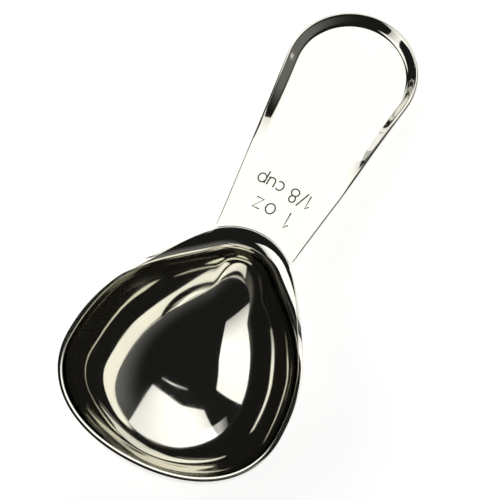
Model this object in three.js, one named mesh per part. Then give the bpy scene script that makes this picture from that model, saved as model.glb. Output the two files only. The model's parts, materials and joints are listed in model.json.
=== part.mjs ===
// Coffee scoop: a drawn steel bowl and a pressed steel handle, butt welded at the neck.
// Millimetres, +Z up. The handle points along +X and the XZ plane is the plane of symmetry.
// The pieces are built with the rim level, and the whole scoop is then laid on its table.

import * as THREE from 'three';

// Sheet and weld
const SHEET = 0.9;              // thickness of both pressings
const WELD_WIDTH = 0.5;         // bead between the two pressings
const WELD_GAP = 0.3;           // clearance on each side of the bead
const WELD_ROOT = 0.25;         // how far the bead stands proud underneath
const WELD_SETBACK = 0.9;       // how far the bead stops short of each side of the neck

// Inside of the bowl, measured where its wall stands upright. X = 0 is its widest station
const BOWL_WIDTH = 48.3;
const BOWL_FRONT = 17.9;        // widest station to the front
const BOWL_DEPTH = 22.3;        // below the rim
const DEEPEST_STATION = 3.9;    // towards the neck from the widest station
const FLOOR_FULLNESS = 1.69;    // roundness of the floor: 2 is an ellipse, 1 is a cone
const WALL_FULLNESS = 2.48;     // straightness of the wall: 2 is an ellipse, more is more upright
const FRONT_FULLNESS = 0.61;    // roundness of the front: 0.55 is an ellipse, 1 is a square corner
const SHOULDER_REACH = 18.2;    // how far the widest station pulls the shoulder out straight
const SHOULDER_PULL = 11.5;     // how far the neck pulls it out straight at the other end

// Rim, which rolls over at the neck to lie level with the handle
const NECK_STATION = 38.0;      // widest station to the weld
const NECK_WIDTH = 17.8;        // between the neck corners
const NECK_RADIUS = 13.4;       // of the rolled edge, in plan
const NECK_ROLL = 3.8;          // radius of the roll at the neck, on top
const RIM_ROLL = 2.3;           // the same where the rim only flares
const RIM_FLARE = 22.4;         // degrees that it leans out there
const ROLL_START = 16;          // from the widest station, where the rim begins to roll over

// Handle
const HANDLE_LENGTH = 56.7;     // on the centre line, from its root to its end
const END_RADIUS = 15.1;
const SIDE_TAPER = 7.4;         // degrees that each side flares out towards the end
const LIP_WIDTH = 3.1;          // of the turned-up border, in plan
const LIP_BEND = 0.9;           // width of the bend at its foot, in plan
const LIP_TURN = 45;            // degrees that it is turned up
const LEAST_TURN = 0.05;        // degrees; a border that turns up less is drawn with this turn
const LIP_START = 13.5;         // from the root, where the border begins to turn up
const LIP_RISE = 26;            // length over which it comes to its full turn

// Fineness of the meshes
const NECK_STEPS = 9;
const SHOULDER_STEPS = 14;
const FRONT_STEPS = 14;
const ROLL_STEPS = 5;
const WALL_STEPS = 15;
const SIDE_STEPS = 16;
const END_STEPS = 28;
const ROOT_STEPS = 12;
const BEND_STEPS = 5;
const WELD_STEPS = 16;

const radians = THREE.MathUtils.degToRad;

// Where the neck arc and the handle lie
const neckCentre = NECK_STATION - NECK_RADIUS;
const neckAngle = Math.asin(NECK_WIDTH / 2 / NECK_RADIUS);
const rootRadius = NECK_RADIUS + WELD_GAP + WELD_WIDTH + WELD_GAP;
const handleRoot = neckCentre + rootRadius;
const endCentre = handleRoot + HANDLE_LENGTH - END_RADIUS;

// Joins closed rings of points, all with the same count, into one skin with an end at each side
function skinRings(rings, closeStart, closeEnd) {
  const count = rings[0].length;
  const points = rings.flat();
  const triangles = [];
  for (let ring = 0; ring + 1 < rings.length; ring += 1) {
    for (let side = 0; side < count; side += 1) {
      const next = (side + 1) % count;
      const a = ring * count + side;
      const b = ring * count + next;
      triangles.push(a, a + count, b);
      triangles.push(b, a + count, b + count);
    }
  }
  closeStart(points, triangles, 0);
  closeEnd(points, triangles, (rings.length - 1) * count);
  const geometry = new THREE.BufferGeometry().setFromPoints(points);
  geometry.setIndex(triangles);
  geometry.computeVertexNormals();
  return geometry;
}

// Closes a skin with a fan of triangles to one point
function fanTo(tip, count, facesBack) {
  return (points, triangles, first) => {
    points.push(tip);
    for (let side = 0; side < count; side += 1) {
      const a = first + side;
      const b = first + (side + 1) % count;
      triangles.push(points.length - 1, ...(facesBack ? [b, a] : [a, b]));
    }
  };
}

// Closes a skin with a flat sheet across a ring
function flatAcross(ring, facesBack) {
  const outline = ring.map((point) => new THREE.Vector2(point.x, point.y));
  const faces = THREE.ShapeUtils.triangulateShape(outline, []);
  return (points, triangles, first) => {
    for (const [a, b, c] of faces) {
      triangles.push(first + a, ...(facesBack ? [first + c, first + b] : [first + b, first + c]));
    }
  };
}

// Points along a curve at even spacing, each with the direction that faces out of the bowl
function stations(curve, steps) {
  const found = [];
  for (let step = 0; step < steps; step += 1) {
    const tangent = curve.getTangentAt(step / steps);
    found.push({
      point: curve.getPointAt(step / steps),
      outward: new THREE.Vector2(tangent.y, -tangent.x),
    });
  }
  return found;
}

// Bowl: the upright wall in plan, from the neck round one side to the front, then its mirror image
function wallOutline() {
  const half = BOWL_WIDTH / 2;
  const neck = new THREE.ArcCurve(neckCentre, 0, NECK_RADIUS - NECK_ROLL, 0, neckAngle);
  const corner = neck.getPoint(1);
  const pull = new THREE.Vector2(-Math.sin(neckAngle), Math.cos(neckAngle)).multiplyScalar(SHOULDER_PULL);
  const widest = new THREE.Vector2(0, half);
  const shoulder = new THREE.CubicBezierCurve(
    corner,
    corner.clone().add(pull),
    new THREE.Vector2(SHOULDER_REACH, half),
    widest,
  );
  const front = new THREE.CubicBezierCurve(
    widest,
    new THREE.Vector2(-BOWL_FRONT * FRONT_FULLNESS, half),
    new THREE.Vector2(-BOWL_FRONT, half * FRONT_FULLNESS),
    new THREE.Vector2(-BOWL_FRONT, 0),
  );
  const side = [
    ...stations(neck, NECK_STEPS),
    ...stations(shoulder, SHOULDER_STEPS),
    ...stations(front, FRONT_STEPS),
  ];
  const tip = { point: new THREE.Vector2(-BOWL_FRONT, 0), outward: new THREE.Vector2(-1, 0) };
  const mirror = side.slice(1).reverse().map(({ point, outward }) => ({
    point: new THREE.Vector2(point.x, -point.y),
    outward: new THREE.Vector2(outward.x, -outward.y),
  }));
  return [...side, tip, ...mirror];
}

// Turn of the rim out from upright, and its radius: level at the neck, a slight flare elsewhere
function rimRoll(station) {
  const full = neckCentre + (NECK_RADIUS - NECK_ROLL) * Math.cos(neckAngle);
  const rolled = THREE.MathUtils.smoothstep(station, ROLL_START, full);
  return {
    lean: radians(THREE.MathUtils.lerp(RIM_FLARE, 90, rolled)),
    radius: THREE.MathUtils.lerp(RIM_ROLL, NECK_ROLL, rolled),
  };
}

// How far the rim's outer edge stands above a square cut: trimmed level at the flare, square at the neck
function rimTrim({ point }) {
  const flare = radians(RIM_FLARE);
  const slant = (flare * (Math.PI / 2 - rimRoll(point.x).lean)) / (Math.PI / 2 - flare);
  return SHEET * Math.tan(slant);
}

// How far the rounded bottom would reach from its deepest point, as an ellipse, in one direction
function bottomReach(inward) {
  const length = (BOWL_FRONT + NECK_STATION - NECK_ROLL) / 2;
  const width = BOWL_WIDTH / 2;
  return (length * width) / Math.hypot(width * inward.x, length * inward.y);
}

// A point on a line of the inside, with the slope of the line there
function pointOnLine(plan, height, along, run, drop) {
  return {
    point: new THREE.Vector3(plan.x, plan.y, height),
    slope: new THREE.Vector3(along.x * run, along.y * run, -drop),
  };
}

// One line over the rolled rim, from its edge to the top of the wall
function rimLine({ point, outward }) {
  const { lean, radius } = rimRoll(point.x);
  const line = [];
  for (let step = 0; step < ROLL_STEPS; step += 1) {
    const turn = lean * (1 - step / ROLL_STEPS);
    const plan = point.clone().addScaledVector(outward, radius * (1 - Math.cos(turn)));
    const height = radius * (Math.sin(turn) - Math.sin(lean));
    line.push(pointOnLine(plan, height, outward, -Math.sin(turn), Math.cos(turn)));
  }
  return line;
}

// One line down the wall and along the floor, from the foot of the rim to the deepest point
function wallLine({ point }) {
  const deepest = new THREE.Vector2(DEEPEST_STATION, 0);
  const inward = deepest.clone().sub(point);
  const reach = inward.length();
  inward.normalize();
  const round = bottomReach(inward);
  const { lean, radius } = rimRoll(point.x);
  const flaredTop = -RIM_ROLL * Math.sin(radians(RIM_FLARE));
  const lowered = -radius * Math.sin(lean) - flaredTop;
  const wallDepth = BOWL_DEPTH + flaredTop;
  const line = [];
  for (let step = 0; step < WALL_STEPS; step += 1) {
    const fall = Math.sin((Math.PI / 2) * (step / WALL_STEPS));
    const spread = 1 - fall ** FLOOR_FULLNESS;
    const spreadSlope = -FLOOR_FULLNESS * fall ** (FLOOR_FULLNESS - 1);
    const bulge = spread ** (1 / WALL_FULLNESS);
    const arm = round + (reach - round) * spread;
    const plan = deepest.clone().addScaledVector(inward, -bulge * arm);
    const height = (1 - fall) * (wallDepth + lowered * spread) - BOWL_DEPTH;
    const run = -spreadSlope * bulge * (arm / (WALL_FULLNESS * spread) + reach - round);
    const drop = wallDepth + lowered * spread - (1 - fall) * lowered * spreadSlope;
    line.push(pointOnLine(plan, height, inward, run, drop));
  }
  return line;
}

function bowlGeometry() {
  const outline = wallOutline();
  const lines = outline.map((station) => [...rimLine(station), ...wallLine(station)]);
  const count = lines.length;
  const outward = (side, step) => {
    const before = lines[(side + count - 1) % count][step].point;
    const after = lines[(side + 1) % count][step].point;
    const around = new THREE.Vector3().subVectors(after, before);
    return around.cross(lines[side][step].slope).negate().normalize();
  };
  const inside = [];
  const outside = [];
  for (let step = 0; step < lines[0].length; step += 1) {
    inside.push(lines.map((line) => line[step].point.clone()));
    outside.push(lines.map((line, side) => (
      line[step].point.clone().addScaledVector(outward(side, step), SHEET)
    )));
  }
  outline.forEach((station, side) => {
    outside[0][side].addScaledVector(lines[side][0].slope, -rimTrim(station));
  });
  const floor = new THREE.Vector3(DEEPEST_STATION, 0, -BOWL_DEPTH);
  const sole = new THREE.Vector3(DEEPEST_STATION, 0, -BOWL_DEPTH - SHEET);
  const rings = [...inside.reverse(), ...outside];
  return skinRings(rings, fanTo(floor, count, false), fanTo(sole, count, true));
}

// Handle: angle of the root arc, seen from its centre, at which the side of the handle begins
function rootAngle() {
  const taper = radians(SIDE_TAPER);
  const nearest = END_RADIUS - (endCentre - neckCentre) * Math.sin(taper);
  return Math.asin(nearest / rootRadius) + taper;
}

// The plate's outline: round the end, back along one side, across the root and out along the other
function handleOutline() {
  const taper = radians(SIDE_TAPER);
  const corner = rootAngle();
  const root = new THREE.Vector2(neckCentre + rootRadius * Math.cos(corner), rootRadius * Math.sin(corner));
  const outline = [];
  const endSweep = Math.PI / 2 + taper;
  for (let step = 0; step < END_STEPS; step += 1) {
    const angle = -endSweep + 2 * endSweep * (step / END_STEPS);
    outline.push(new THREE.Vector2(
      endCentre + END_RADIUS * Math.cos(angle),
      END_RADIUS * Math.sin(angle),
    ));
  }
  const left = new THREE.Vector2(
    endCentre + END_RADIUS * Math.cos(endSweep),
    END_RADIUS * Math.sin(endSweep),
  );
  for (let step = 0; step < SIDE_STEPS; step += 1) {
    outline.push(left.clone().lerp(root, step / SIDE_STEPS));
  }
  for (let step = 0; step < ROOT_STEPS; step += 1) {
    const angle = corner - 2 * corner * (step / ROOT_STEPS);
    outline.push(new THREE.Vector2(
      neckCentre + rootRadius * Math.cos(angle),
      rootRadius * Math.sin(angle),
    ));
  }
  const right = new THREE.Vector2(left.x, -left.y);
  const rightRoot = new THREE.Vector2(root.x, -root.y);
  for (let step = 0; step < SIDE_STEPS; step += 1) {
    outline.push(rightRoot.clone().lerp(right, step / SIDE_STEPS));
  }
  return outline;
}

// One line of the plate's top: down the straight border from its edge, and round the bend to its foot
function lipLine(edge) {
  const middle = new THREE.Vector2(
    THREE.MathUtils.clamp(edge.x, handleRoot + END_RADIUS, endCentre),
    0,
  );
  const inward = middle.sub(edge).normalize();
  const foot = edge.clone().addScaledVector(inward, LIP_WIDTH);
  const rise = THREE.MathUtils.smoothstep(edge.x - handleRoot, LIP_START, LIP_START + LIP_RISE);
  const turn = radians(Math.max(LIP_TURN * rise, LEAST_TURN));
  const radius = LIP_BEND / Math.sin(turn);
  const straight = (LIP_WIDTH - LIP_BEND - SHEET * Math.sin(turn)) / Math.cos(turn);
  const onBorder = (angle, beyond) => {
    const reach = radius * Math.sin(angle) + beyond * Math.cos(turn);
    const height = radius * (1 - Math.cos(angle)) + beyond * Math.sin(turn);
    const plan = foot.clone().addScaledVector(inward, -reach);
    return pointOnLine(plan, height, inward, Math.cos(angle), Math.sin(angle));
  };
  const line = [onBorder(turn, straight)];
  for (let step = 0; step <= BEND_STEPS; step += 1) {
    line.push(onBorder(turn * (1 - step / BEND_STEPS), 0));
  }
  return line;
}

function handleGeometry() {
  const lines = handleOutline().map(lipLine);
  const below = (line, step) => {
    const { point, slope } = line[step];
    const run = Math.hypot(slope.x, slope.y);
    const level = new THREE.Vector3(slope.x / run, slope.y / run, 0);
    const down = level.multiplyScalar(slope.z).add(new THREE.Vector3(0, 0, -run));
    return point.clone().addScaledVector(down, SHEET);
  };
  const top = [];
  const underside = [];
  for (let step = 0; step < lines[0].length; step += 1) {
    top.push(lines.map((line) => line[step].point.clone()));
    underside.push(lines.map((line) => below(line, step)));
  }
  const rings = [...top.reverse(), ...underside];
  const topFace = flatAcross(rings[0], false);
  const bottomFace = flatAcross(rings[rings.length - 1], true);
  return skinRings(rings, topFace, bottomFace);
}

// Weld: a narrow arc-shaped bead that fills the seam
function weldGeometry() {
  const inner = NECK_RADIUS + WELD_GAP;
  const outer = inner + WELD_WIDTH;
  const sweep = Math.asin((NECK_WIDTH / 2 - WELD_SETBACK) / NECK_RADIUS);
  const section = new THREE.Shape();
  section.absarc(neckCentre, 0, outer, -sweep, sweep, false);
  section.absarc(neckCentre, 0, inner, sweep, -sweep, true);
  section.closePath();
  const depth = SHEET + WELD_ROOT;
  const bead = new THREE.ExtrudeGeometry(section, {
    depth,
    bevelEnabled: false,
    curveSegments: WELD_STEPS,
  });
  return bead.translate(0, 0, -depth);
}

function steel(colour, roughness) {
  return new THREE.MeshStandardMaterial({ color: colour, roughness, metalness: 1 });
}

function piece(name, geometry, material) {
  const mesh = new THREE.Mesh(geometry, material);
  mesh.name = name;
  return mesh;
}

// Lowest point of a piece when the scoop is tilted towards its handle
function lowestPoint(mesh, tilt) {
  const turn = new THREE.Matrix4().makeRotationY(tilt);
  const positions = mesh.geometry.getAttribute('position');
  const point = new THREE.Vector3();
  let lowest = Infinity;
  for (let index = 0; index < positions.count; index += 1) {
    point.fromBufferAttribute(positions, index).applyMatrix4(turn);
    lowest = Math.min(lowest, point.z);
  }
  return lowest;
}

// Tilt at which the bowl and the end of the handle both touch the table
function restingTilt(bowl, handle) {
  let low = 0;
  let high = Math.PI / 2;
  for (let round = 0; round < 40; round += 1) {
    const tilt = (low + high) / 2;
    if (lowestPoint(handle, tilt) > lowestPoint(bowl, tilt)) low = tilt;
    else high = tilt;
  }
  return (low + high) / 2;
}

const bowl = piece('bowl', bowlGeometry(), steel(0xe7e4db, 0.06));
const handle = piece('handle', handleGeometry(), steel(0xe7e4db, 0.06));
const neckWeld = piece('neck_weld', weldGeometry(), steel(0xdfddd4, 0.14));

const scoop = new THREE.Group();
scoop.name = 'coffee_scoop';
scoop.add(bowl, handle, neckWeld);

// Laid on the table with the middle of its length over the origin
scoop.rotation.y = restingTilt(bowl, handle);
const laid = new THREE.Box3().setFromObject(scoop, true);
const middle = laid.getCenter(new THREE.Vector3());
scoop.position.set(-middle.x, 0, -laid.min.z);

export default scoop;
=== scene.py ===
"""Coffee scoop: the looks of a mirror-polished steel measuring scoop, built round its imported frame.

Sizes are millimetres in the scoop's own level frame: the rim is level, the handle points along +X and
X = 0 is the widest station of the bowl. A finished piece is laid on the table, in metres.
"""

import json
import logging
import math
from collections.abc import Callable, Sequence
from dataclasses import dataclass
from enum import Enum

import bmesh
import bpy
from mathutils import Matrix, Vector


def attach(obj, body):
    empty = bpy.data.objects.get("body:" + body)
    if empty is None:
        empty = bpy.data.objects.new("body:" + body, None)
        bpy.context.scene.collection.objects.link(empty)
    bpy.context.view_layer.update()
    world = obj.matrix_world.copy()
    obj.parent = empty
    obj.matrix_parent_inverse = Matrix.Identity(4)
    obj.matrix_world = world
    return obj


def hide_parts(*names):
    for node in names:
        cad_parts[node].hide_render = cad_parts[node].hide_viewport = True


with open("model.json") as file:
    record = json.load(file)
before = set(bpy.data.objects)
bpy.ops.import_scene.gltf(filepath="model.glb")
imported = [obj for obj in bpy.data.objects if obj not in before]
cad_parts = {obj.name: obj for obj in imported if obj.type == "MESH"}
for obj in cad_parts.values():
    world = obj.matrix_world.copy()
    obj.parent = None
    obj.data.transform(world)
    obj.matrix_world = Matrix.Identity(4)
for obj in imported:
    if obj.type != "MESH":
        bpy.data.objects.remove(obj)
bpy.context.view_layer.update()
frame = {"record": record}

log = logging.getLogger("coffee_scoop")

MM = 0.001
BODY = "root"
RIGHT_ANGLE = math.pi / 2
LEAST_APART = 0.002
SMOOTH_BELOW = 40.0
STROKE_STEP = 12.0
HANDLE_EDGE_ROUND = 0.38
MIX_SHARE, MIX_FIRST, MIX_SECOND, MIX_COLOUR = 0, 6, 7, 2
Colour = tuple[float, float, float]
Piece = bpy.types.Object
Socket = bpy.types.NodeSocket
Tree = bpy.types.NodeTree


def smooth(value: float, low: float, high: float) -> float:
    """Eases from 0 at low to 1 at high.

    Args:
        value: Where to look.
        low: Where the rise begins.
        high: Where it ends.

    Returns:
        The eased share, held between 0 and 1.
    """
    share = min(max((value - low) / (high - low), 0.0), 1.0)
    return share * share * (3 - 2 * share)


def blend(low: float, high: float, share: float) -> float:
    """Goes from low at share 0 to high at share 1."""
    return low + (high - low) * share


def bezier(handles: Sequence[Vector], count: int) -> list[Vector]:
    """Draws a cubic curve, without its last point.

    Args:
        handles: The four points that shape it.
        count: How many points to draw.

    Returns:
        The points, from the first handle on.
    """
    first, second, third, last = handles
    drawn = []
    for step in range(count):
        along = step / count
        back = 1 - along
        near = first * back**3 + second * (3 * back * back * along)
        drawn.append(near + third * (3 * back * along * along) + last * along**3)
    return drawn


def arc(middle: Vector, radius: float, start: float, end: float, count: int) -> list[Vector]:
    """Draws part of a circle in plan, without its last point.

    Args:
        middle: The centre.
        radius: The radius.
        start: First angle, in radians.
        end: Last angle, in radians.
        count: How many points to draw.

    Returns:
        The points, from the first angle on.
    """
    drawn = []
    for step in range(count):
        angle = blend(start, end, step / count)
        drawn.append(middle + Vector((math.cos(angle), math.sin(angle))) * radius)
    return drawn


def even_stations(outline: Sequence[Vector], count: int) -> list[Vector]:
    """Spaces points evenly along a finely drawn closed outline.

    Args:
        outline: The closed outline, without its first point repeated.
        count: How many points to place.

    Returns:
        The points, from the outline's first one on.
    """
    closed = [*outline, outline[0]]
    travelled = [0.0]
    for before, after in zip(closed, closed[1:]):
        travelled.append(travelled[-1] + (after - before).length)
    placed = []
    leg = 0
    for step in range(count):
        wanted = travelled[-1] * step / count
        while travelled[leg + 1] < wanted:
            leg += 1
        share = (wanted - travelled[leg]) / (travelled[leg + 1] - travelled[leg])
        placed.append(closed[leg].lerp(closed[leg + 1], share))
    return placed


@dataclass(frozen=True)
class TableRest:
    """How the scoop lies on its table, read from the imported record.

    Attributes:
        face_station: Station of the record's handle_face mount on the handle's centre line.
    """

    face_station: float = 66.0

    def matrix(self) -> Matrix:
        """Gives the step from the level frame in millimetres to the table in metres."""
        mounts = {mount["name"]: mount for mount in frame["record"]["mounts"]}
        face = mounts["handle_face"]
        tilt = math.atan2(face["axis"][0], face["axis"][2])
        turn = Matrix.Rotation(tilt, 4, "Y") @ Matrix.Scale(MM, 4)
        shift = Vector(face["pos_m"]) - turn @ Vector((self.face_station, 0, 0))
        return Matrix.Translation(shift) @ turn


LAID = TableRest().matrix()


class Bench:
    """Blender's modelling tools, as one maker's bench."""

    @staticmethod
    def clear() -> None:
        """Goes to object mode with nothing selected."""
        if bpy.context.object and bpy.context.object.mode != "OBJECT":
            bpy.ops.object.mode_set(mode="OBJECT")
        bpy.ops.object.select_all(action="DESELECT")

    @staticmethod
    def pick(piece: Piece) -> None:
        """Selects one piece and nothing else."""
        Bench.clear()
        piece.select_set(True)
        bpy.context.view_layer.objects.active = piece

    @staticmethod
    def edit(piece: Piece) -> None:
        """Goes to edit mode with all of one piece selected."""
        Bench.pick(piece)
        bpy.ops.object.mode_set(mode="EDIT")
        bpy.ops.mesh.select_all(action="SELECT")

    @staticmethod
    def ring(name: str, points: Sequence[Vector]) -> Piece:
        """Adds a wire ring.

        Args:
            name: The piece's name.
            points: Where its corners go, in order.

        Returns:
            The new piece.
        """
        Bench.clear()
        bpy.ops.mesh.primitive_circle_add(vertices=len(points), fill_type="NOTHING")
        piece = bpy.context.object
        piece.name = piece.data.name = name
        for corner, point in zip(piece.data.vertices, points):
            corner.co = point
        return piece

    @staticmethod
    def draw(piece: Piece, rings: Sequence[Sequence[Vector]]) -> None:
        """Draws a ring out into a sheet, and leaves its last edge selected in edit mode.

        Args:
            piece: A ring from the bench.
            rings: The next places of its edge, each with as many points as the ring.
        """
        place = {corner.co.copy().freeze(): corner.index for corner in piece.data.vertices}
        Bench.edit(piece)
        for ring in rings:
            bpy.ops.mesh.extrude_edges_move()
            cage = bmesh.from_edit_mesh(piece.data)
            moved = {}
            for corner in cage.verts:
                if corner.select:
                    index = place[corner.co.copy().freeze()]
                    corner.co = ring[index]
                    moved[corner.co.copy().freeze()] = index
            place = moved
            bmesh.update_edit_mesh(piece.data)

    @staticmethod
    def face_up(piece: Piece) -> None:
        """Turns a sheet's faces so that most of them look up, and goes to object mode."""
        bpy.ops.mesh.select_all(action="SELECT")
        bpy.ops.mesh.normals_make_consistent(inside=False)
        bpy.ops.object.mode_set(mode="OBJECT")
        if sum(face.normal.z * face.area for face in piece.data.polygons) < 0:
            bpy.ops.object.mode_set(mode="EDIT")
            bpy.ops.mesh.flip_normals()
            bpy.ops.object.mode_set(mode="OBJECT")

    @staticmethod
    def modify(piece: Piece, kind: str, **settings: object) -> None:
        """Adds a modifier and applies it.

        Args:
            piece: The piece to change.
            kind: Blender's name of the modifier.
            **settings: The modifier's own settings.
        """
        Bench.pick(piece)
        modifier = piece.modifiers.new(kind.lower(), kind)
        for name, value in settings.items():
            setattr(modifier, name, value)
        bpy.ops.object.modifier_apply(modifier=modifier.name)

    @staticmethod
    def clean(piece: Piece, apart: float) -> None:
        """Joins corners that lie on each other, and drops the faces that have no area.

        Args:
            piece: The piece to clean.
            apart: Corners nearer to each other than this are joined.
        """
        Bench.edit(piece)
        bpy.ops.mesh.remove_doubles(threshold=apart)
        bpy.ops.mesh.dissolve_degenerate(threshold=apart)
        bpy.ops.object.mode_set(mode="OBJECT")

    @staticmethod
    def lay(piece: Piece) -> None:
        """Lays a finished piece on the table, with its place in its mesh."""
        Bench.pick(piece)
        piece.matrix_world = LAID
        bpy.ops.object.transform_apply(location=True, rotation=True, scale=True)

    @staticmethod
    def coat(piece: Piece, finish: "PolishedSteel | EtchedSteel") -> None:
        """Gives a piece one finish all over."""
        piece.data.materials.clear()
        piece.data.materials.append(finish.material())

    @staticmethod
    def shade(piece: Piece, angle: float) -> None:
        """Shades a piece smooth, apart from edges sharper than an angle in degrees."""
        Bench.pick(piece)
        bpy.ops.object.shade_smooth_by_angle(angle=math.radians(angle), keep_sharp_edges=False)


@dataclass(frozen=True)
class Sheet:
    """The steel sheet that both pressings are made of.

    Attributes:
        thickness: Of the sheet.
        edge_round: How far each cut edge is rounded off by tumbling.
        edge_steps: Facets across that rounding.
        cut_angle: Sharper edges than this, in degrees, are cut edges.
        widest_cut: Longest line across a cut edge, in thicknesses.
    """

    thickness: float = 0.9
    edge_round: float = 0.22
    edge_steps: int = 4
    cut_angle: float = 50.0
    widest_cut: float = 1.5

    def trim(
        self, cage: bmesh.types.BMesh, cuts: Sequence[bmesh.types.BMEdge], steepest: float
    ) -> None:
        """Trims the sheet's edge level where it stands steepest, and square where it lies flat.

        Args:
            cage: The sheet.
            cuts: Both sides of its cut edge.
            steepest: Lean from upright where it stands steepest, in radians.
        """
        for corner in {corner for edge in cuts for corner in edge.verts}:
            others = [edge.other_vert(corner) for edge in corner.link_edges if edge not in cuts]
            across = corner.co - max(others, key=lambda other: other.co.z).co
            if across.z > -self.edge_round / 2 or across.length > self.widest_cut * self.thickness:
                continue
            lean = math.asin(min(-across.z / self.thickness, 1.0))
            slant = steepest * (RIGHT_ANGLE - lean) / (RIGHT_ANGLE - steepest)
            across.z = 0.0
            up_sheet = across.normalized() * math.sin(lean) + Vector((0.0, 0.0, math.cos(lean)))
            corner.co += up_sheet * self.thickness * math.tan(slant)

    def press(
        self, piece: Piece, rounding: Callable[[Vector], float], steepest: float | None = None
    ) -> None:
        """Makes a thin drawn skin into sheet, thick on its underside, and rounds its cut edges.

        Args:
            piece: The skin, its faces looking up.
            rounding: Gives how much of the full rounding a cut edge gets at a place, from 0 to 1.
            steepest: Lean in radians at which the edge is trimmed level, or None to leave it square.
        """
        Bench.modify(piece, "SOLIDIFY", thickness=self.thickness, offset=-1.0, use_even_offset=True)
        cage = bmesh.new()
        cage.from_mesh(piece.data)
        weight = cage.edges.layers.float.new("bevel_weight_edge")
        cuts = [edge for edge in cage.edges if edge.calc_face_angle(0.0) > math.radians(self.cut_angle)]
        for edge in cuts:
            edge[weight] = rounding((edge.verts[0].co + edge.verts[1].co) / 2)
        if steepest is not None:
            self.trim(cage, cuts, steepest)
        cage.to_mesh(piece.data)
        cage.free()
        Bench.modify(
            piece, "BEVEL", width=self.edge_round, segments=self.edge_steps, limit_method="WEIGHT"
        )


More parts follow.
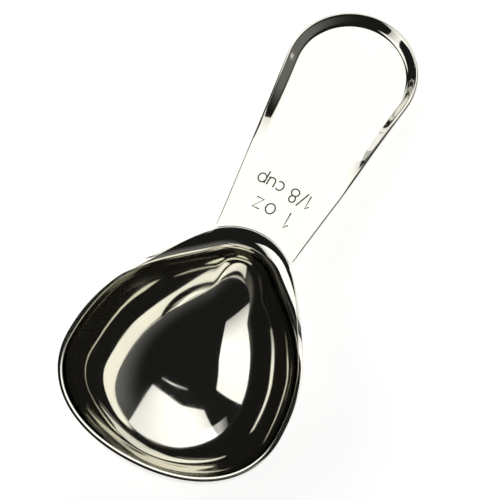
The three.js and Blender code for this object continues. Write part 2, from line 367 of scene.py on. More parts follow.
@dataclass
class Bowl:
    """The drawn bowl, with a rim that rolls over at the neck to lie level with the handle."""

    sheet: Sheet
    width: float = 48.3
    front: float = 17.9
    depth: float = 22.3
    deepest: float = 3.9
    floor_fullness: float = 1.69
    wall_fullness: float = 2.48
    front_fullness: float = 0.61
    shoulder_reach: float = 18.2
    shoulder_pull: float = 11.5
    neck_station: float = 38.0
    neck_width: float = 17.8
    neck_radius: float = 13.4
    neck_roll: float = 3.8
    rim_roll: float = 2.3
    flare: float = 22.4
    roll_start: float = 16.0
    round_rise: float = 0.25
    around: int = 192
    roll_steps: int = 8
    wall_steps: int = 72
    curve_points: int = 400

    @property
    def neck_centre(self) -> Vector:
        """Centre of the neck's arc, in plan."""
        return Vector((self.neck_station - self.neck_radius, 0.0))

    @property
    def neck_angle(self) -> float:
        """Half of the neck's arc, seen from its centre."""
        return math.asin(self.neck_width / 2 / self.neck_radius)

    def wall_outline(self) -> list[Vector]:
        """Draws the top of the wall in plan, from the neck round one side to the front and back."""
        half = self.width / 2
        angle = self.neck_angle
        inner = self.neck_radius - self.neck_roll
        neck = arc(self.neck_centre, inner, 0.0, angle, self.curve_points)
        corner = self.neck_centre + Vector((math.cos(angle), math.sin(angle))) * inner
        pull = Vector((-math.sin(angle), math.cos(angle))) * self.shoulder_pull
        widest = Vector((0.0, half))
        tip = Vector((-self.front, 0.0))
        reach = Vector((self.shoulder_reach, half))
        shoulder = bezier((corner, corner + pull, reach, widest), self.curve_points)
        full = self.front_fullness
        ease = Vector((-self.front * full, half))
        turn = Vector((-self.front, half * full))
        front = bezier((widest, ease, turn, tip), self.curve_points)
        side = [*neck, *shoulder, *front]
        return [*side, tip, *(Vector((point.x, -point.y)) for point in reversed(side[1:]))]

    def roll(self, station: float) -> tuple[float, float]:
        """Gives how the rim turns out from upright: level at the neck, a slight flare elsewhere.

        Args:
            station: Where the wall's top is, along the scoop.

        Returns:
            The angle that it turns by, in radians, and the radius of the turn.
        """
        end = self.neck_centre.x + (self.neck_radius - self.neck_roll) * math.cos(self.neck_angle)
        share = smooth(station, self.roll_start, end)
        return math.radians(blend(self.flare, 90.0, share)), blend(self.rim_roll, self.neck_roll, share)

    def floor_reach(self, inward: Vector) -> float:
        """Gives how far the rounded floor would reach as an ellipse, in one direction."""
        length = (self.front + self.neck_station - self.neck_roll) / 2
        width = self.width / 2
        return length * width / math.hypot(width * inward.x, length * inward.y)

    def rim_line(self, point: Vector, outward: Vector) -> list[Vector]:
        """Draws one line over the rolled rim, from its edge to the top of the wall.

        Args:
            point: Where the wall's top is, in plan.
            outward: The direction out of the bowl there.

        Returns:
            The points, the edge's first.
        """
        lean, radius = self.roll(point.x)
        line = []
        for step in range(self.roll_steps):
            turn = lean * (1 - step / self.roll_steps)
            plan = point + outward * (radius * (1 - math.cos(turn)))
            line.append(Vector((plan.x, plan.y, radius * (math.sin(turn) - math.sin(lean)))))
        return line

    def wall_line(self, point: Vector) -> list[Vector]:
        """Draws one line down the wall and along the floor, to near the deepest point.

        Args:
            point: Where the wall's top is, in plan.

        Returns:
            The points, the wall's top first.
        """
        lowest = Vector((self.deepest, 0.0))
        inward = lowest - point
        reach = inward.length
        inward.normalize()
        floor_reach = self.floor_reach(inward)
        lean, radius = self.roll(point.x)
        flared_top = -self.rim_roll * math.sin(math.radians(self.flare))
        lowered = -radius * math.sin(lean) - flared_top
        line = []
        for step in range(self.wall_steps):
            fall = math.sin(RIGHT_ANGLE * step / self.wall_steps)
            spread = 1 - fall**self.floor_fullness
            arm = floor_reach + (reach - floor_reach) * spread
            plan = lowest - inward * (arm * spread ** (1 / self.wall_fullness))
            height = (1 - fall) * (self.depth + flared_top + lowered * spread) - self.depth
            line.append(Vector((plan.x, plan.y, height)))
        return line

    def rounding(self, place: Vector) -> float:
        """Gives how far the rim's edge is rounded: fully, but not where it is welded."""
        from_neck = place.xy - self.neck_centre
        angle = abs(math.atan2(from_neck.y, from_neck.x))
        return smooth(angle, self.neck_angle, self.neck_angle + self.round_rise)

    def build(self) -> Piece:
        """Draws the bowl from a ring at its rim down to its bottom, and presses it."""
        stations = even_stations(self.wall_outline(), self.around)
        lines = []
        for index, point in enumerate(stations):
            along = stations[(index + 1) % self.around] - stations[index - 1]
            outward = Vector((along.y, -along.x)).normalized()
            lines.append([*self.rim_line(point, outward), *self.wall_line(point)])
        rings = [list(ring) for ring in zip(*lines)]
        piece = Bench.ring("bowl_pressing", rings[0])
        Bench.draw(piece, rings[1:])
        bpy.ops.mesh.extrude_edges_move()
        bpy.ops.mesh.merge(type="CENTER")
        cage = bmesh.from_edit_mesh(piece.data)
        bottom = next(corner for corner in cage.verts if corner.select)
        bottom.co = Vector((self.deepest, 0.0, -self.depth))
        bmesh.update_edit_mesh(piece.data)
        Bench.face_up(piece)
        self.sheet.press(piece, self.rounding, steepest=math.radians(self.flare))
        return piece

    def dress(self, piece: Piece) -> None:
        """Polishes the bowl in rings."""
        Bench.coat(piece, PolishedSteel("polished_bowl", Grain.ROUND))


@dataclass
class Handle:
    """The pressed handle: a flat plate with a border that turns up towards its round end."""

    sheet: Sheet
    bowl: Bowl
    seam: float = 0.35
    length: float = 57.45
    end_radius: float = 15.1
    taper: float = 7.4
    lip_width: float = 3.1
    lip_bend: float = 0.9
    lip_turn: float = 45.0
    lip_start: float = 14.25
    lip_rise: float = 26.0
    least_turn: float = 0.05
    flat_rim: float = 0.5
    round_start: float = 0.6
    round_full: float = 2.6
    end_points: int = 120
    side_points: int = 64
    root_points: int = 48
    straight_steps: int = 3
    bend_steps: int = 8

    @property
    def root_radius(self) -> float:
        """Radius of the concave root, in plan."""
        return self.bowl.neck_radius + self.seam

    @property
    def root_station(self) -> float:
        """Station of the root on the centre line."""
        return self.bowl.neck_centre.x + self.root_radius

    @property
    def end_centre(self) -> Vector:
        """Centre of the round end, in plan."""
        return Vector((self.root_station + self.length - self.end_radius, 0.0))

    def outline(self) -> list[Vector]:
        """Draws the plate's edge: round the end, down one side, across the root and out again."""
        taper = math.radians(self.taper)
        sweep = RIGHT_ANGLE + taper
        neck = self.bowl.neck_centre
        nearest = self.end_radius - (self.end_centre.x - neck.x) * math.sin(taper)
        corner = math.asin(nearest / self.root_radius) + taper
        end = arc(self.end_centre, self.end_radius, -sweep, sweep, self.end_points)
        left = self.end_centre + Vector((math.cos(sweep), math.sin(sweep))) * self.end_radius
        root = neck + Vector((math.cos(corner), math.sin(corner))) * self.root_radius
        side = [left.lerp(root, step / self.side_points) for step in range(self.side_points)]
        across = arc(neck, self.root_radius, corner, -corner, self.root_points)
        back = [root.lerp(left, step / self.side_points) for step in range(self.side_points)]
        return [*end, *side, *across, *(Vector((point.x, -point.y)) for point in back)]

    def lip_line(self, edge: Vector) -> list[Vector]:
        """Draws one line of the plate's top, from its edge in to the foot of the border."""
        spine = min(max(edge.x, self.root_station + self.end_radius), self.end_centre.x)
        inward = (Vector((spine, 0.0)) - edge).normalized()
        foot = edge + inward * self.lip_width
        begin = self.root_station + self.lip_start
        rise = smooth(edge.x, begin, begin + self.lip_rise)
        turn = math.radians(max(self.lip_turn * rise, self.least_turn))
        radius = self.lip_bend / math.sin(turn)
        edge_inset = self.sheet.thickness * math.sin(turn)
        straight = (self.lip_width - self.lip_bend - edge_inset) / math.cos(turn)
        places = []
        for step in range(self.straight_steps):
            places.append((turn, straight * (1 - step / self.straight_steps)))
        for step in range(self.bend_steps + 1):
            places.append((turn * (1 - step / self.bend_steps), 0.0))
        line = []
        for angle, beyond in places:
            plan = foot - inward * (radius * math.sin(angle) + beyond * math.cos(turn))
            height = radius * (1 - math.cos(angle)) + beyond * math.sin(turn)
            line.append(Vector((plan.x, plan.y, height)))
        plan = foot + inward * self.flat_rim
        return [*line, Vector((plan.x, plan.y, 0.0))]

    def rounding(self, place: Vector) -> float:
        """Gives how far the plate's edge is rounded: fully, but not where it is welded."""
        from_root = (place.xy - self.bowl.neck_centre).length - self.root_radius
        return smooth(from_root, self.round_start, self.round_full)

    def build(self) -> Piece:
        """Draws the plate in from its edge, closes it flat, and presses it."""
        lines = [self.lip_line(edge) for edge in self.outline()]
        rings = [list(ring) for ring in zip(*lines)]
        piece = Bench.ring("handle_pressing", rings[0])
        Bench.draw(piece, rings[1:])
        bpy.ops.mesh.edge_face_add()
        Bench.face_up(piece)
        self.sheet.press(piece, self.rounding)
        return piece

    def dress(self, piece: Piece) -> None:
        """Polishes the handle along its length, and cuts its measure."""
        Bench.coat(piece, PolishedSteel("polished_handle", Grain.ALONG))
        MeasureMark().cut(piece)


@dataclass
class NeckWeld:
    """The butt weld that joins the two pressings: a fine dressed line on top, a rippled bead below."""

    bowl: Bowl
    handle: Handle
    sink: float = 0.05
    root_bead: float = 0.25
    ripple: float = 0.3
    ripple_pitch: float = 1.1
    side_setback: float = 0.35
    across_steps: int = 6
    along_steps: int = 144
    colour: Colour = (0.74, 0.72, 0.66)
    roughness: float = 0.1

    def section(self, travelled: float) -> list[tuple[float, float]]:
        """Draws the bead's section at one place along it.

        Args:
            travelled: How far along the bead the place is.

        Returns:
            The radius from the neck's centre and the height of each point, the top first.
        """
        inner, outer = self.bowl.neck_radius, self.handle.root_radius
        under = -self.bowl.sheet.thickness
        swell = 1 + self.ripple * math.cos(2 * math.pi * travelled / self.ripple_pitch)
        shares = [blend(-1.0, 1.0, step / self.across_steps) for step in range(self.across_steps + 1)]
        radii = [blend(inner, outer, (share + 1) / 2) for share in shares]
        top = [(radius, -self.sink * (1 - share**2)) for radius, share in zip(radii, shares)]
        bead = self.root_bead * swell
        below = [(radius, under - bead * (1 - share**2)) for radius, share in zip(radii, shares)]
        return [*top, *reversed(below)]

    def build(self) -> Piece:
        """Sweeps the bead's section along the neck's arc."""
        sweep = math.asin((self.bowl.neck_width / 2 - self.side_setback) / self.bowl.neck_radius)
        rings = []
        for step in range(self.along_steps + 1):
            angle = blend(-sweep, sweep, step / self.along_steps)
            ring = []
            for radius, height in self.section(angle * self.bowl.neck_radius):
                plan = self.bowl.neck_centre + Vector((math.cos(angle), math.sin(angle))) * radius
                ring.append(Vector((plan.x, plan.y, height)))
            rings.append(ring)
        piece = Bench.ring("neck_weld_bead", rings[0])
        Bench.edit(piece)
        bpy.ops.mesh.edge_face_add()
        bpy.ops.object.mode_set(mode="OBJECT")
        Bench.draw(piece, rings[1:])
        bpy.ops.mesh.edge_face_add()
        bpy.ops.mesh.select_all(action="SELECT")
        bpy.ops.mesh.normals_make_consistent(inside=False)
        bpy.ops.object.mode_set(mode="OBJECT")
        return piece

    def dress(self, piece: Piece) -> None:
        """Brushes the weld along the handle."""
        Bench.coat(piece, PolishedSteel("dressed_weld", Grain.ALONG, self.colour, self.roughness))


Stroke = list[Vector]


def run(*corners: tuple[float, float]) -> Stroke:
    """Draws a straight stroke from corner to corner."""
    return [Vector(corner) for corner in corners]


def bow(middle: tuple[float, float], radii: tuple[float, float], start: float, end: float) -> Stroke:
    """Draws a round stroke, as part of an ellipse.

    Args:
        middle: The centre.
        radii: Half of its width and half of its height.
        start: First angle, in degrees.
        end: Last angle, in degrees.

    Returns:
        The stroke's points.
    """
    count = max(round(abs(end - start) / STROKE_STEP), 2)
    stroke = []
    for step in range(count + 1):
        angle = math.radians(blend(start, end, step / count))
        across, up = radii[0] * math.cos(angle), radii[1] * math.sin(angle)
        stroke.append(Vector((middle[0] + across, middle[1] + up)))
    return stroke


@dataclass(frozen=True)
class Glyph:
    """One engraved sign, on a grid where figures are 1 high.

    Attributes:
        width: Of the sign.
        strokes: The lines that the cutter follows.
    """

    width: float
    strokes: list[Stroke]


GLYPHS = {
    "1": Glyph(0.3, [run((0.04, 0.76), (0.24, 1.0), (0.24, 0.0))]),
    "8": Glyph(0.56, [
        bow((0.28, 0.76), (0.21, 0.24), -90, 270),
        bow((0.28, 0.26), (0.27, 0.26), 90, 450),
    ]),
    "/": Glyph(0.42, [run((0.0, -0.06), (0.42, 1.06))]),
    "o": Glyph(0.56, [bow((0.28, 0.32), (0.27, 0.32), 0, 360)]),
    "z": Glyph(0.48, [run((0.02, 0.64), (0.46, 0.64), (0.02, 0.0), (0.48, 0.0))]),
    "c": Glyph(0.5, [bow((0.28, 0.32), (0.27, 0.32), 48, 312)]),
    "u": Glyph(0.5, [
        [*run((0.02, 0.64)), *bow((0.25, 0.24), (0.23, 0.24), 180, 360)],
        run((0.48, 0.64), (0.48, 0.0)),
    ]),
    "p": Glyph(0.56, [run((0.02, 0.64), (0.02, -0.32)), bow((0.29, 0.32), (0.27, 0.32), 180, 540)]),
    " ": Glyph(0.3, []),
}


@dataclass(frozen=True)
class MarkLine:
    """One line of the measure.

    Attributes:
        words: What it says.
        foot: Station of its foot on the handle. Its head points to the bowl.
        height: Of its figures.
        space: Between its signs, as a share of the height.
    """

    words: str
    foot: float
    height: float
    space: float


@dataclass(frozen=True)
class MeasureMark:
    """The measure that is cut into the plate, in two plain lines.

    Attributes:
        lines: The two lines.
        cut_radius: Radius of the cutter's ball.
        cut_depth: How deep it goes.
        cutter_steps: Fineness of the ball.
    """

    lines: tuple[MarkLine, ...] = (
        MarkLine("1 oz", 45.5, 3.8, 0.26),
        MarkLine("1/8 cup", 51.0, 3.3, 0.14),
    )
    cut_radius: float = 0.2
    cut_depth: float = 0.1
    cutter_steps: int = 3

    def paths(self) -> list[Stroke]:
        """Lays all strokes out on the plate."""
        paths = []
        for line in self.lines:
            signs = [GLYPHS[sign] for sign in line.words]
            width = sum(sign.width for sign in signs) + line.space * (len(signs) - 1)
            pen = -width / 2
            for sign in signs:
                for stroke in sign.strokes:
                    paths.append([
                        Vector((line.foot - point.y * line.height, (pen + point.x) * line.height))
                        for point in stroke
                    ])
                pen += sign.width + line.space
        return paths

    def cutter(self) -> Piece:
        """Makes the cutter's sweep along all strokes, as one mesh."""
        sweep = bpy.data.curves.new("cutter_sweep", "CURVE")
        sweep.dimensions = "3D"
        sweep.bevel_depth = self.cut_radius
        sweep.bevel_resolution = self.cutter_steps
        sweep.use_fill_caps = True
        for path in self.paths():
            closed = (path[0] - path[-1]).length < self.cut_depth
            points = path[:-1] if closed else path
            spline = sweep.splines.new("POLY")
            spline.points.add(len(points) - 1)
            spline.use_cyclic_u = closed
            for knot, point in zip(spline.points, points):
                knot.co = (point.x, point.y, self.cut_radius - self.cut_depth, 1.0)
        tool = bpy.data.objects.new("cutter_sweep", sweep)
        bpy.context.collection.objects.link(tool)
        Bench.pick(tool)
        bpy.ops.object.convert(target="MESH")
        return bpy.context.object

    def cut(self, plate: Piece) -> None:
        """Cuts the strokes into the plate as grooves, and etches them dark.

        Args:
            plate: The handle, in its level frame.
        """
        tool = self.cutter()
        Bench.coat(tool, EtchedSteel("etched_measure"))
        Bench.modify(
            plate, "BOOLEAN", object=tool, solver="EXACT", use_self=True, material_mode="TRANSFER"
        )
        bpy.data.objects.remove(tool)


class Grain(Enum):
    """How the polishing wheel ran over a piece."""

    ROUND = "round the bowl"
    ALONG = "along the handle"


class Wiring:
    """Adds shader nodes to one tree and joins their sockets."""

    def __init__(self, tree: Tree) -> None:
        """Takes the tree to work in."""
        self.tree = tree

    @staticmethod
    def finish(name: str) -> tuple[bpy.types.Material, "Wiring", bpy.types.Node]:
        """Begins a node material, and gives it with its wiring and its shader."""
        finish = bpy.data.materials.new(name)
        finish.use_nodes = True
        return finish, Wiring(finish.node_tree), finish.node_tree.nodes["Principled BSDF"]

    def add(
        self, kind: str, values: dict[str | int, object] | None = None, **settings: object
    ) -> bpy.types.Node:
        """Adds a node.

        Args:
            kind: Blender's name of the node.
            values: For inputs by name or number, a socket to join or a value to hold.
            **settings: The node's own settings.

        Returns:
            The new node.
        """
        node = self.tree.nodes.new(kind)
        for name, value in settings.items():
            setattr(node, name, value)
        for socket, value in (values or {}).items():
            if isinstance(value, Socket):
                self.join(value, node, socket)
            else:
                node.inputs[socket].default_value = value
        return node

    def join(self, value: Socket, node: bpy.types.Node, socket: str | int) -> None:
        """Feeds a value into one input of a node."""
        self.tree.links.new(value, node.inputs[socket])

    def sum(self, first: object, second: object) -> Socket:
        """Adds two values."""
        return self.add("ShaderNodeMath", {0: first, 1: second}).outputs[0]

    def product(self, first: object, second: object) -> Socket:
        """Multiplies two values."""
        return self.add("ShaderNodeMath", {0: first, 1: second}, operation="MULTIPLY").outputs[0]

    def vector(self, operation: str, first: object, second: object = None) -> bpy.types.Node:
        """Adds a vector node with one or two inputs."""
        values = {0: first} if second is None else {0: first, 1: second}
        return self.add("ShaderNodeVectorMath", values, operation=operation)

    def ease(self, value: Socket, low: float, high: float) -> Socket:
        """Eases a value from 0 at low to 1 at high."""
        values = {"Value": value, "From Min": low, "From Max": high}
        return self.add("ShaderNodeMapRange", values, interpolation_type="SMOOTHSTEP").outputs["Result"]

    def mix(self, share: Socket, first: Colour, second: Colour) -> Socket:
        """Blends two colours."""
        values = {MIX_SHARE: share, MIX_FIRST: (*first, 1.0), MIX_SECOND: (*second, 1.0)}
        return self.add("ShaderNodeMix", values, data_type="RGBA").outputs[MIX_COLOUR]

    def noise(self, place: Socket, scale: object, detail: float) -> Socket:
        """Adds a cloudy pattern."""
        values = {"Vector": place, "Scale": scale, "Detail": detail}
        return self.add("ShaderNodeTexNoise", values).outputs["Fac"]

    def level_place(self) -> Socket:
        """Gives the place on the piece in the scoop's level frame, in millimetres."""
        values = {
            "Vector": self.add("ShaderNodeTexCoord").outputs["Object"],
            "Location": LAID.to_translation(),
            "Rotation": LAID.to_euler(),
            "Scale": (MM, MM, MM),
        }
        return self.add("ShaderNodeMapping", values, vector_type="TEXTURE").outputs[0]


class SurfaceGroups:
    """Shader node groups that several finishes share, each built once.

    Attributes:
        CLOUDY: Inputs of the two groups with a cloudy pattern.
        FINE_SHARE: Part of the polishing lines' depth that the fine ones have.
        BROAD_SCALE: How many broad lines there are to a fine one.
        HAZE_SPAN, EDGE_SPAN, PATCH_SPAN: Values where a smear, edge or patch begins and is full.
    """

    CLOUDY = {"Place": "NodeSocketVector", "Scale": "NodeSocketFloat"}
    FINE_SHARE = 0.6
    BROAD_SCALE = 0.2
    HAZE_SPAN = (0.44, 0.72)
    EDGE_SPAN = (0.53, 0.6)
    PATCH_SPAN = (0.35, 0.65)

    @staticmethod
    def start(
        name: str, inputs: dict[str, str], output: str
    ) -> tuple[Wiring, bpy.types.Node, bpy.types.Node]:
        """Begins a group.

        Args:
            name: The group's name.
            inputs: Kind of socket for each input's name.
            output: Name of its one output, a value.

        Returns:
            The wiring of the group, its input node and its output node.
        """
        tree = bpy.data.node_groups.new(name, "ShaderNodeTree")
        for title, kind in inputs.items():
            tree.interface.new_socket(title, in_out="INPUT", socket_type=kind)
        tree.interface.new_socket(output, in_out="OUTPUT", socket_type="NodeSocketFloat")
        wiring = Wiring(tree)
        return wiring, wiring.add("NodeGroupInput"), wiring.add("NodeGroupOutput")

    @staticmethod
    def polish_lines() -> Tree:
        """Fine lines of a polishing wheel, from a place that is stretched along them."""
        sockets = {"Stretched Place": "NodeSocketVector", "Fineness": "NodeSocketFloat"}
        wiring, given, out = SurfaceGroups.start("polish_lines", sockets, "Height")
        place = given.outputs["Stretched Place"]
        fine = wiring.noise(place, given.outputs["Fineness"], 2.0)
        coarseness = wiring.product(given.outputs["Fineness"], SurfaceGroups.BROAD_SCALE)
        broad = wiring.noise(place, coarseness, 1.0)
        share = SurfaceGroups.FINE_SHARE
        both = wiring.sum(wiring.product(fine, share), wiring.product(broad, 1 - share))
        wiring.join(both, out, "Height")
        return wiring.tree

    @staticmethod
    def handling_haze() -> Tree:
        """Faint smears from hands and cloths."""
        wiring, given, out = SurfaceGroups.start("handling_haze", SurfaceGroups.CLOUDY, "Haze")
        cloud = wiring.noise(given.outputs["Place"], given.outputs["Scale"], 5.0)
        wiring.join(wiring.ease(cloud, *SurfaceGroups.HAZE_SPAN), out, "Haze")
        return wiring.tree

    @staticmethod
    def edge_wear() -> Tree:
        """Rubbed patches along outer edges."""
        wiring, given, out = SurfaceGroups.start("edge_wear", SurfaceGroups.CLOUDY, "Wear")
        shape = wiring.add("ShaderNodeNewGeometry").outputs["Pointiness"]
        cloud = wiring.noise(given.outputs["Place"], given.outputs["Scale"], 3.0)
        patches = wiring.ease(cloud, *SurfaceGroups.PATCH_SPAN)
        wear = wiring.product(wiring.ease(shape, *SurfaceGroups.EDGE_SPAN), patches)
        wiring.join(wear, out, "Wear")
        return wiring.tree

    @staticmethod
    def node(wiring: Wiring, name: str, values: dict[str, object]) -> Socket:
        """Places a group in a material.

        Args:
            wiring: The material's wiring.
            name: The group's name, which is also its maker's.
            values: For its inputs, a socket to join or a value to hold.

        Returns:
            Its output.
        """
        tree = bpy.data.node_groups.get(name) or getattr(SurfaceGroups, name)()
        return wiring.add("ShaderNodeGroup", values, node_tree=tree).outputs[0]


@dataclass(frozen=True)
class PolishedSteel:
    """A mirror polish on stainless sheet, with the faint marks of its making and use.

    Attributes:
        name: The finish's name.
        grain: How the polishing wheel ran.
        colour: Of the clean metal.
        roughness: Of the clean metal.
        dulled: Colour under a smear.
        haze_rough: How much a smear adds to the roughness.
        line_rough: The same for a polishing line.
        wear_rough: The same for a rubbed edge.
        fineness: Polishing lines in a millimetre.
        line_height: Depth of a polishing line, in metres.
        wave_height: Depth of the sheet's own waviness, in metres.
        wave_scale: Waves in a millimetre.
        round_centre: Station of the wheel's centre on a piece polished in rings.
        stretch: How far lines along the handle are drawn out, as a share.
        ring_pull: The same for lines in rings.
        haze_scale: Smears in a millimetre.
        wear_scale: Rubbed patches in a millimetre.
        line_span: Height of a line where it begins to look rough, and where it is roughest.
    """

    name: str
    grain: Grain
    colour: Colour = (0.80, 0.785, 0.70)
    roughness: float = 0.035
    dulled: Colour = (0.77, 0.755, 0.68)
    haze_rough: float = 0.035
    line_rough: float = 0.03
    wear_rough: float = 0.1
    fineness: float = 5.0
    line_height: float = 1.2e-7
    wave_height: float = 4.0e-6
    wave_scale: float = 0.22
    round_centre: float = 3.9
    stretch: float = 0.02
    ring_pull: float = 0.3
    haze_scale: float = 0.07
    wear_scale: float = 0.4
    line_span: tuple[float, float] = (0.4, 0.7)

    def stretched_place(self, wiring: Wiring, place: Socket) -> Socket:
        """Gives the place stretched along the polishing lines."""
        if self.grain is Grain.ALONG:
            return wiring.vector("MULTIPLY", place, (self.stretch, 1.0, 1.0)).outputs[0]
        out = wiring.vector("SUBTRACT", place, (self.round_centre, 0.0, 0.0)).outputs[0]
        flat = wiring.vector("MULTIPLY", out, (1.0, 1.0, 0.0)).outputs[0]
        height = wiring.add("ShaderNodeSeparateXYZ", {0: out}).outputs["Z"]
        ring = wiring.sum(wiring.vector("LENGTH", flat).outputs["Value"], height)
        way = wiring.vector("SCALE", wiring.vector("NORMALIZE", flat).outputs[0])
        way.inputs["Scale"].default_value = self.ring_pull
        lift = wiring.add("ShaderNodeCombineXYZ", {"Z": ring}).outputs[0]
        return wiring.vector("ADD", way.outputs[0], lift).outputs[0]

    def material(self) -> bpy.types.Material:
        """Makes the finish as a node material."""
        finish, wiring, shader = Wiring.finish(self.name)
        place = wiring.level_place()
        stretched = self.stretched_place(wiring, place)
        lines = SurfaceGroups.node(
            wiring, "polish_lines", {"Stretched Place": stretched, "Fineness": self.fineness}
        )
        haze = SurfaceGroups.node(wiring, "handling_haze", {"Place": place, "Scale": self.haze_scale})
        wear = SurfaceGroups.node(wiring, "edge_wear", {"Place": place, "Scale": self.wear_scale})
        rough = wiring.sum(wiring.product(haze, self.haze_rough), self.roughness)
        rough = wiring.sum(rough, wiring.product(wiring.ease(lines, *self.line_span), self.line_rough))
        rough = wiring.sum(rough, wiring.product(wear, self.wear_rough))
        waves = wiring.noise(place, self.wave_scale, 2.0)
        wavy = wiring.add("ShaderNodeBump", {"Height": waves, "Distance": self.wave_height})
        lined = wiring.add(
            "ShaderNodeBump", {"Height": lines, "Distance": self.line_height, "Normal": wavy.outputs[0]}
        )
        wiring.join(wiring.mix(haze, self.colour, self.dulled), shader, "Base Color")
        wiring.join(rough, shader, "Roughness")
        wiring.join(lined.outputs[0], shader, "Normal")
        shader.inputs["Metallic"].default_value = 1.0
        return finish


@dataclass(frozen=True)
class EtchedSteel:
    """A dark matt etch on the floor of a cut line.

    Attributes:
        name: The finish's name.
        dark: Its darkest colour.
        pale: Its palest colour.
        metallic: How much of it is still bare metal.
        roughness: Where it is smoothest.
        spread: How much rougher it is where it is roughest.
        grain: Grains of the etch in a millimetre.
    """

    name: str
    dark: Colour = (0.10, 0.10, 0.10)
    pale: Colour = (0.22, 0.215, 0.205)
    metallic: float = 0.6
    roughness: float = 0.4
    spread: float = 0.25
    grain: float = 9.0

    def material(self) -> bpy.types.Material:
        """Makes the finish as a node material."""
        finish, wiring, shader = Wiring.finish(self.name)
        grain = wiring.noise(wiring.level_place(), self.grain, 3.0)
        rough = wiring.sum(wiring.product(grain, self.spread), self.roughness)
        wiring.join(wiring.mix(grain, self.dark, self.pale), shader, "Base Color")
        wiring.join(rough, shader, "Roughness")
        shader.inputs["Metallic"].default_value = self.metallic
        return finish


@dataclass(frozen=True)
class LightPanel:
    """A flat soft light, as a rectangle in the studio.

    Attributes:
        name: The panel's name.
        centre: Where its middle is, in metres.
        facing: The direction that it shines in.
        sides: Its level side and its other side, in metres.
        radiance: How bright it looks, where 1 is white.
        ends: Share of that brightness at its two level ends.
        spin: Turn in its own plane, in degrees.
        fade: Share of its level side over which each end fades.
    """

    name: str
    centre: tuple[float, float, float]
    facing: tuple[float, float, float]
    sides: tuple[float, float]
    radiance: float
    ends: tuple[float, float]
    spin: float = 0.0
    fade: float = 0.35

    def shade(self, lamp: bpy.types.AreaLight) -> None:
        """Lets the panel's light fade towards its ends."""
        lamp.use_nodes = True
        wiring = Wiring(lamp.node_tree)
        place = wiring.add("ShaderNodeNewGeometry").outputs["Parametric"]
        across = wiring.add("ShaderNodeSeparateXYZ", {0: place}).outputs["X"]
        ramp = wiring.add("ShaderNodeValToRGB", {"Fac": across})
        stops = ramp.color_ramp.elements
        first, last = self.ends
        stops[0].position, stops[0].color = 0.0, (first, first, first, 1.0)
        stops[1].position, stops[1].color = 1.0, (last, last, last, 1.0)
        for position in (self.fade, 1 - self.fade):
            stops.new(position).color = (1.0, 1.0, 1.0, 1.0)
        wiring.join(ramp.outputs["Color"], lamp.node_tree.nodes["Emission"], "Color")

    def build(self) -> Piece:
        """Hangs the panel."""
        Bench.clear()
        bpy.ops.object.light_add(type="AREA", location=self.centre)
        lamp = bpy.context.object
        lamp.name = self.name
        aim = (-Vector(self.facing)).to_track_quat("Z", "Y")
        lamp.rotation_mode = "QUATERNION"
        lamp.rotation_quaternion = aim @ Matrix.Rotation(math.radians(self.spin), 3, "Z").to_quaternion()
        lamp.data.shape = "RECTANGLE"
        lamp.data.size, lamp.data.size_y = self.sides
        lamp.data.energy = self.radiance * math.pi * math.prod(self.sides)
        lamp.visible_camera = False
        self.shade(lamp.data)
        return lamp


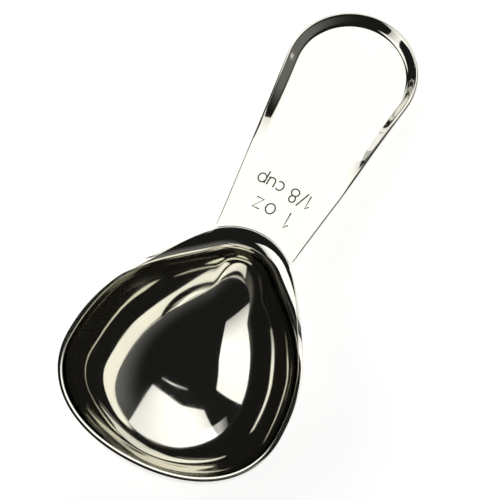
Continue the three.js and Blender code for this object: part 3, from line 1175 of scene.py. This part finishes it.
@dataclass
class Studio:
    """The white table, the soft panels and the dark room round them.

    Attributes:
        floor_half: Half of the table's side, in metres.
        glow: How bright the table looks by itself, where 1 is white.
        paper: Share of the panels' light that the table throws back.
        dark: Brightness of most of the room.
        wall: Brightness of its low wall on the right.
        wall_foot: Height of a direction, as a share of its length, up to which the wall is plain.
        wall_top: The same, where the wall has faded into the dark.
        wall_side: How far a direction points along +Y, where the wall is full.
        panels: The lights.
    """

    floor_half: float = 6.0
    glow: float = 0.8
    paper: float = 0.62
    dark: float = 0.012
    wall: float = 0.16
    wall_foot: float = 0.25
    wall_top: float = 0.75
    wall_side: float = -0.8
    panels: tuple[LightPanel, ...] = (
        LightPanel(
            "far_panel", (0.774, 0.304, 0.865), (-0.979, 0.076, 0.19), (1.308, 1.353), 1.4, (0.7, 0.7), 12.0
        ),
        LightPanel(
            "left_panel", (-0.295, 0.701, 0.947), (0.246, -0.745, -0.62), (1.174, 0.852), 1.4, (0.9, 0.4)
        ),
        LightPanel(
            "strip_light", (0.527, -0.046, 1.188), (-0.405, 0.035, -0.914), (0.48, 0.016), 1.2, (0.3, 0.3)
        ),
        LightPanel("low_card", (0.65, 1.126, 0.29), (-0.5, -0.866, 0.0), (0.66, 0.54), 1.1, (0.3, 0.3)),
        LightPanel("corner_card", (0.8, 1.024, 0.74), (-0.616, -0.788, 0.0), (0.56, 0.36), 0.6, (0.9, 0.1)),
    )

    def floor(self) -> Piece:
        """Lays the white table, which takes the scoop's shadow."""
        Bench.clear()
        bpy.ops.mesh.primitive_plane_add(size=2 * self.floor_half)
        floor = bpy.context.object
        floor.name = "table"
        paper = bpy.data.materials.new("white_paper")
        paper.use_nodes = True
        wiring = Wiring(paper.node_tree)
        wiring.tree.nodes.clear()
        matt = wiring.add("ShaderNodeBsdfDiffuse", {"Color": (self.paper, self.paper, self.paper, 1.0)})
        path = wiring.add("ShaderNodeLightPath").outputs
        mirrored_too = wiring.sum(path["Is Camera Ray"], path["Is Glossy Ray"])
        rays = {0: mirrored_too, 1: path["Is Transmission Ray"]}
        seen = wiring.add("ShaderNodeMath", rays, use_clamp=True).outputs[0]
        glow = wiring.add("ShaderNodeEmission", {"Strength": wiring.product(seen, self.glow)})
        both = wiring.add("ShaderNodeAddShader", {0: matt.outputs[0], 1: glow.outputs[0]})
        wiring.add("ShaderNodeOutputMaterial", {"Surface": both.outputs[0]})
        floor.data.materials.append(paper)
        return floor

    def room(self) -> None:
        """Sets the room's own light: dark, with a low grey wall on the right."""
        world = bpy.data.worlds.new("studio")
        bpy.context.scene.world = world
        world.use_nodes = True
        wiring = Wiring(world.node_tree)
        wiring.tree.nodes.clear()
        place = wiring.add("ShaderNodeTexCoord").outputs["Generated"]
        axes = wiring.add("ShaderNodeSeparateXYZ", {0: place}).outputs
        fading = {
            "Value": axes["Z"],
            "From Min": self.wall_foot,
            "From Max": self.wall_top,
            "To Min": self.wall,
            "To Max": self.dark,
        }
        rise = wiring.add("ShaderNodeMapRange", fading, interpolation_type="SMOOTHSTEP")
        side = wiring.ease(axes["Y"], 0.0, self.wall_side)
        shades = {"Factor": side, "A": self.dark, "B": rise.outputs["Result"]}
        shade = wiring.add("ShaderNodeMix", shades, data_type="FLOAT")
        grey = wiring.add("ShaderNodeBackground", {"Color": shade.outputs["Result"]})
        wiring.add("ShaderNodeOutputWorld", {"Surface": grey.outputs[0]})

    def build(self) -> None:
        """Sets up the whole studio."""
        self.floor()
        self.room()
        for panel in self.panels:
            panel.build()


@dataclass(frozen=True)
class Viewpoint:
    """The photograph's view, in the scoop's level frame.

    Attributes:
        target: Level point in the middle of the picture.
        turn: Direction that the camera looks along in plan, in radians from +Y towards +X.
        drop: How steeply it looks down, in radians.
        distance: From the camera to the target.
        focal_share: Focal length over the picture's width.
        nearest: How near the camera sees, in metres.
    """

    target: tuple[float, float, float] = (33.8, 0.07, 0.0)
    turn: float = 1.07795
    drop: float = 1.20291
    distance: float = 442.8
    focal_share: float = 4.14
    nearest: float = 0.01

    def build(self) -> Piece:
        """Sets up the camera."""
        Bench.clear()
        level = Vector((math.sin(self.turn), math.cos(self.turn), 0.0))
        right = Vector((math.cos(self.turn), -math.sin(self.turn), 0.0))
        forward = level * math.cos(self.drop) - Vector((0.0, 0.0, math.sin(self.drop)))
        up = right.cross(forward)
        place = Vector(self.target) - forward * self.distance
        bpy.ops.object.camera_add()
        camera = bpy.context.object
        camera.name = "photo_view"
        turn = LAID.to_3x3().normalized()
        axes = Matrix((turn @ right, turn @ up, turn @ -forward)).transposed()
        camera.matrix_world = Matrix.Translation(LAID @ place) @ axes.to_4x4()
        camera.data.lens = camera.data.sensor_width * self.focal_share
        camera.data.clip_start = self.nearest
        bpy.context.scene.camera = camera
        return camera


def main() -> None:
    """Builds the studio and the scoop, piece by piece."""
    logging.basicConfig(level=logging.INFO, format="%(name)s: %(message)s")
    bpy.context.scene.view_settings.view_transform = "Standard"
    Viewpoint().build()
    Studio().build()
    sheet = Sheet()
    bowl = Bowl(sheet)
    handle = Handle(Sheet(edge_round=HANDLE_EDGE_ROUND), bowl)
    weld = NeckWeld(bowl, handle)
    for maker, node, slot in (
        (bowl, "bowl", "bowl_steel"),
        (handle, "handle", "handle_steel"),
        (weld, "neck_weld", "weld_steel"),
    ):
        piece = maker.build()
        maker.dress(piece)
        Bench.clean(piece, LEAST_APART)
        Bench.lay(piece)
        Bench.shade(piece, SMOOTH_BELOW)
        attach(piece, BODY)
        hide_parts(node)
        log.info("%s: %d faces", piece.name, len(piece.data.polygons))


if __name__ == "__main__":
    main()
